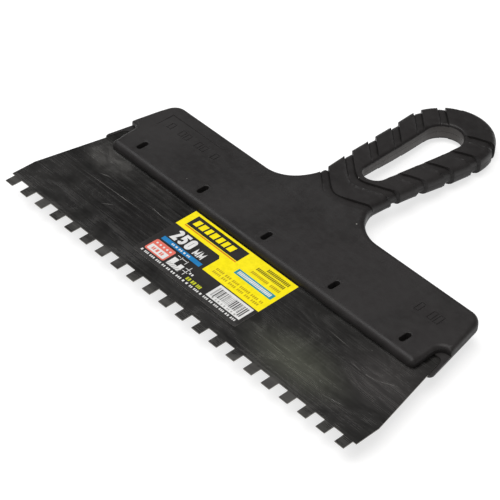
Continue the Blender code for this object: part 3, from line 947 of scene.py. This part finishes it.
class Print:
    """Collects flat printed areas, each on its own thin level."""

    def __init__(self):
        self.verts, self.faces, self.index = [], [], []
        self.z = 0.14

    def poly(self, ink, pts, z=None):
        z = self.z if z is None else z
        base = len(self.verts)
        self.verts += [(x, y, z) for x, y in pts]
        area = sum(pts[i][0] * pts[(i + 1) % len(pts)][1]
                   - pts[(i + 1) % len(pts)][0] * pts[i][1]
                   for i in range(len(pts)))
        ids = list(range(base, base + len(pts)))
        if area < 0:
            ids.reverse()
        self.faces.append(tuple(ids))
        self.index.append(INK_ID[ink])

    def rect(self, ink, x0, x1, y0, y1, z=None):
        self.poly(ink, [(x0, y0), (x1, y0), (x1, y1), (x0, y1)], z)

    def rrect(self, ink, x0, x1, y0, y1, r, z=None):
        pts = (arc(x1 - r, y0 + r, r, r, -90, 0, 5)
               + arc(x1 - r, y1 - r, r, r, 0, 90, 5)
               + arc(x0 + r, y1 - r, r, r, 90, 180, 5)
               + arc(x0 + r, y0 + r, r, r, 180, 270, 5))
        self.poly(ink, pts, z)

    def stroke(self, ink, pts, w, z=None, round_ends=False):
        """Constant-width line along points, mitred."""
        a = np.array(pts, float)
        t = np.diff(a, axis=0)
        t /= np.hypot(t[:, 0], t[:, 1])[:, None]
        n = np.stack([-t[:, 1], t[:, 0]], 1)
        m = np.vstack([n[:1], n[1:] + n[:-1], n[-1:]])
        m[1:-1] /= (m[1:-1] ** 2).sum(1)[:, None] / 2.0
        lft, rgt = a + m * w / 2.0, a - m * w / 2.0
        for i in range(len(a) - 1):
            self.poly(ink, [tuple(rgt[i]), tuple(rgt[i + 1]),
                            tuple(lft[i + 1]), tuple(lft[i])], z)

    def words(self, ink, x0, x1, y0, y1, z=None, lo=1.2, hi=4.2, gap=0.8,
              fill=0.72, italic=0.0):
        """A line of writing shown as plain dashes."""
        x = x0
        while x < x1 - 0.3:
            w = min(rng.uniform(lo, hi), x1 - x)
            n = max(1, int(w / 1.05))
            for i in range(n):
                a = x + i * w / n
                b = a + w / n * fill
                s = italic * (y1 - y0)
                self.poly(ink, [(a, y0), (b, y0), (b + s, y1), (a + s, y1)],
                          z)
            x += w + gap


def label_piece():
    pr = Print()
    X0, X1, Y0, Y1 = -40.3, 34.3, 15.4, 56.8
    z0, z1, z2, z3 = 0.150, 0.165, 0.180, 0.195
    # the film itself, with a real thickness
    r = 0.9
    ring = (arc(X1 - r, Y0 + r, r, r, -90, 0, 6)
            + arc(X1 - r, Y1 - r, r, r, 0, 90, 6)
            + arc(X0 + r, Y1 - r, r, r, 90, 180, 6)
            + arc(X0 + r, Y0 + r, r, r, 180, 270, 6))
    n = len(ring)
    base = len(pr.verts)
    pr.verts += [(x, y, 0.135) for x, y in ring]
    pr.verts += [(x, y, 0.02) for x, y in ring]
    pr.faces.append(tuple(range(base, base + n)))
    pr.index.append(INK_ID["film"])
    pr.faces.append(tuple(base + n + i for i in reversed(range(n))))
    pr.index.append(INK_ID["film"])
    for i in range(n):
        j = (i + 1) % n
        pr.faces.append((base + i, base + n + i, base + n + j, base + j))
        pr.index.append(INK_ID["film_edge"])
    # ground colours
    pr.rect("black", X0 + 0.15, X1 - 0.15, Y0 + 2.0, 43.4, z0)
    pr.poly("yellow", [(X0, 43.3), (-7.6, 43.3), (-5.9, 41.6), (-5.9, 30.6),
                       (X1, 30.6), (X1, Y1), (X0, Y1)], z1)
    # upper left: a plain box with blocks
    pr.rect("black", -36.3, 1.2, 46.9, 55.3, z2)
    x = -34.0
    for w in (3.0, 3.4, 2.6, 3.4, 3.0, 2.6, 3.4):
        pr.poly("yellow", [(x, 48.9), (x + w, 48.9), (x + w + 0.5, 53.3),
                           (x + 0.5, 53.3)], z3)
        x += w + 1.1
    pr.rect("orange", -36.3, 1.2, 45.7, 46.4, z2)
    # width of the blade in numerals
    big, s = "white", 1.9
    y0, y1 = 34.0, 42.0
    x = -34.4
    h, w = y1 - y0, 4.0
    two = (arc(x + w / 2, y1 - w / 2 + 0.0, w / 2 - s / 2, w / 2 - s / 2, 170, -40, 9)
           + [(x + s / 2 + 0.2, y0 + s / 2), (x + w, y0 + s / 2)])
    pr.stroke(big, two, s, z2)
    x += 4.9
    five = [(x + w - 0.1, y1 - s / 2), (x + s / 2, y1 - s / 2),
            (x + s / 2, y0 + 4.4)]
    five += arc(x + w / 2 - 0.1, y0 + 2.9, w / 2 - s / 2 + 0.1, 2.0, 80, -150, 9)
    pr.stroke(big, five, s * 0.92, z2)
    x += 4.9
    zero = (arc(x + w / 2, y1 - w / 2, w / 2 - s / 2, w / 2 - s / 2, 0, 180, 8)
            + arc(x + w / 2, y0 + w / 2, w / 2 - s / 2, w / 2 - s / 2, 180, 360, 8))
    zero.append(zero[0])
    pr.stroke(big, zero, s, z2)
    # unit
    for k in range(2):
        bx, w = -17.6 + k * 3.5, 2.3
        pr.stroke(big, [(bx, 34.1), (bx + 0.15, 37.7), (bx + w / 2, 35.3),
                        (bx + w - 0.15, 37.7), (bx + w, 34.1)], 0.72, z2)
    pr.rect("blue", -36.3, -8.2, 30.3, 33.0, z2)
    pr.words("white", -29.5, -15.5, 31.1, 32.2, z3, 1.6, 3.2, 0.7, 0.66)
    # badge, reduced to plain shapes
    pr.rrect("pink", -37.0, -22.9, 20.0, 29.0, 1.0, z2)
    for i in range(5):
        cx = -34.8 + i * 2.42
        pr.poly("white", [(cx + 0.72 * math.cos(math.radians(90 + 72 * j)),
                           26.9 + 0.72 * math.sin(math.radians(90 + 72 * j)))
                          for j in range(5)], z3)
    pr.rrect("white", -36.0, -23.9, 20.8, 25.0, 0.5, z3)
    pr.words("pink", -34.0, -25.6, 21.9, 23.9, z3 + 0.015, 2.0, 3.0, 0.6)
    # the tooth profile with its arrows
    pr.poly("white", [(-21.2, 20.4), (-12.6, 20.4), (-12.6, 25.2),
                      (-15.3, 25.2), (-15.3, 22.9), (-18.0, 22.9),
                      (-18.0, 26.6), (-21.2, 26.6)], z2)
    for i in range(6):
        a = -21.0 + i * 1.5
        pr.poly("grey", [(a, 20.5), (a + 0.45, 20.5), (a + 1.5, 22.7),
                         (a + 1.05, 22.7)], z3)
    pr.rect("white", -18.0, -14.0, 28.1, 28.45, z2)
    pr.rect("white", -21.0, -19.0, 28.1, 28.45, z2)
    pr.rect("white", -18.2, -17.85, 26.9, 29.0, z2)
    pr.rect("white", -14.2, -13.85, 26.2, 29.0, z2)
    pr.rect("white", -11.6, -8.2, 25.0, 25.35, z2)
    pr.rect("white", -11.6, -8.2, 22.8, 23.15, z2)
    pr.rect("white", -9.6, -9.25, 20.6, 27.4, z2)
    pr.words("white", -7.6, -4.4, 23.4, 24.7, z2, 1.2, 1.6, 0.3)
    pr.words("lime", -6.2, 4.9, 19.9, 22.0, z2, 3.0, 3.6, 0.6, 0.7)
    # bars
    pr.rect("white", 8.6, 32.2, 20.0, 29.9, z1 + 0.004)
    x = 10.2
    while x < 30.4:
        w = rng.choice((0.22, 0.22, 0.44, 0.66))
        pr.rect("black", x, x + w, 22.4 if 12.4 < x < 28.6 else 21.4, 28.4,
                z3)
        x += w + rng.choice((0.3, 0.5, 0.74))
    pr.words("grey", 12.0, 29.4, 20.6, 21.6, z3, 1.0, 2.2, 0.7, 0.5)
    pr.words("white", -37.0, 32.7, 17.7, 19.0, z2, 1.6, 4.4, 0.75, 0.62)
    # right: lines of writing on yellow
    pr.words("olive", 16.0, 31.4, 52.7, 54.9, z2, 15, 16, 1.0, 0.7)
    pr.words("olive", 11.6, 31.4, 49.7, 51.9, z2, 19, 20, 1.0, 0.7)
    pr.words("ochre", 11.4, 31.4, 46.4, 48.2, z2, 9.0, 12.0, 1.4, 0.7)
    pr.rect("teal", 6.0, 31.9, 40.3, 44.3, z2)
    pr.words("white", 7.4, 30.5, 41.2, 43.5, z3, 23, 24, 1.0, 0.74)
    pr.words("ochre", -1.4, 31.6, 35.3, 36.9, z2, 3.0, 8.0, 1.0, 0.62)
    pr.words("ochre", -1.4, 31.6, 32.9, 34.4, z2, 3.0, 8.0, 1.0, 0.62)
    obj = make_object("label_print", pr.verts, pr.faces, list(INKS.values()),
                      pr.index, 30.0)
    return obj


label = label_piece()
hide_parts("label")
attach(label, "root")

# ------------------------------------------------------------ floor and light
stage_z = -0.0004
mesh = bpy.data.meshes.new("floor")
S = 6.0
mesh.from_pydata([(-S, -S, stage_z), (S, -S, stage_z), (S, S, stage_z),
                  (-S, S, stage_z)], [], [(0, 1, 2, 3)])
floor = link("floor", mesh)
fl = Nodes("mat_floor")
fl.link(fl.mix(fl.noise(fl.pos, 3.0), (0.36, 0.36, 0.36), (0.38, 0.38, 0.38)),
        fl.bsdf.inputs["Base Color"])
fl.bsdf.inputs["Emission Color"].default_value = (1.0, 1.0, 1.0, 1.0)
fl.bsdf.inputs["Emission Strength"].default_value = 0.72
fl.bsdf.inputs["Roughness"].default_value = 0.9
fl.bsdf.inputs["Specular IOR Level"].default_value = 0.0
mesh.materials.append(fl.mat)


def softbox(name, loc, target, size, power, colour=(1, 1, 1)):
    data = bpy.data.lights.new(name, "AREA")
    data.shape = "RECTANGLE"
    data.size, data.size_y = size
    data.energy = power
    data.color = colour
    obj = bpy.data.objects.new(name, data)
    bpy.context.scene.collection.objects.link(obj)
    obj.location = loc
    obj.rotation_euler = (Vector(target) - Vector(loc)).to_track_quat(
        "-Z", "Y").to_euler()
    return obj


softbox("overhead", (0.10, -0.38, 1.6), (0, 0, 0), (1.3, 1.3), 27.0,
        (1.0, 0.985, 0.975))
softbox("left", (-0.82, -0.06, 1.26), (0, 0, 0), (0.8, 0.8), 7.5,
        (0.97, 0.98, 1.0))

world = bpy.data.worlds.new("studio")
bpy.context.scene.world = world
world.use_nodes = True
bg = world.node_tree.nodes["Background"]
bg.inputs["Color"].default_value = (1.0, 0.99, 0.985, 1.0)
bg.inputs["Strength"].default_value = 0.18

# --------------------------------------------------------------------- camera
cam_data = bpy.data.cameras.new("camera")
cam_data.lens = 137.209
cam_data.sensor_width = 36.0
cam_data.clip_start, cam_data.clip_end = 0.05, 50.0
cam = bpy.data.objects.new("camera", cam_data)
bpy.context.scene.collection.objects.link(cam)
right = Vector((0.673090, 0.739434, 0.013653))
down = Vector((0.498625, -0.440098, -0.746784))
ahead = Vector((-0.546190, 0.509461, -0.664926))
place = Vector((508.510 * MM, (-417.788 - CY) * MM, (620.164 - CZ) * MM))
rot = Matrix((right, -down, -ahead)).transposed()
cam.matrix_world = Matrix.Translation(place) @ rot.to_4x4()
bpy.context.scene.camera = cam

view_set = bpy.context.scene.view_settings
view_set.view_transform = "Standard"
view_set.look = "None"
view_set.exposure = 0.0
view_set.gamma = 1.0
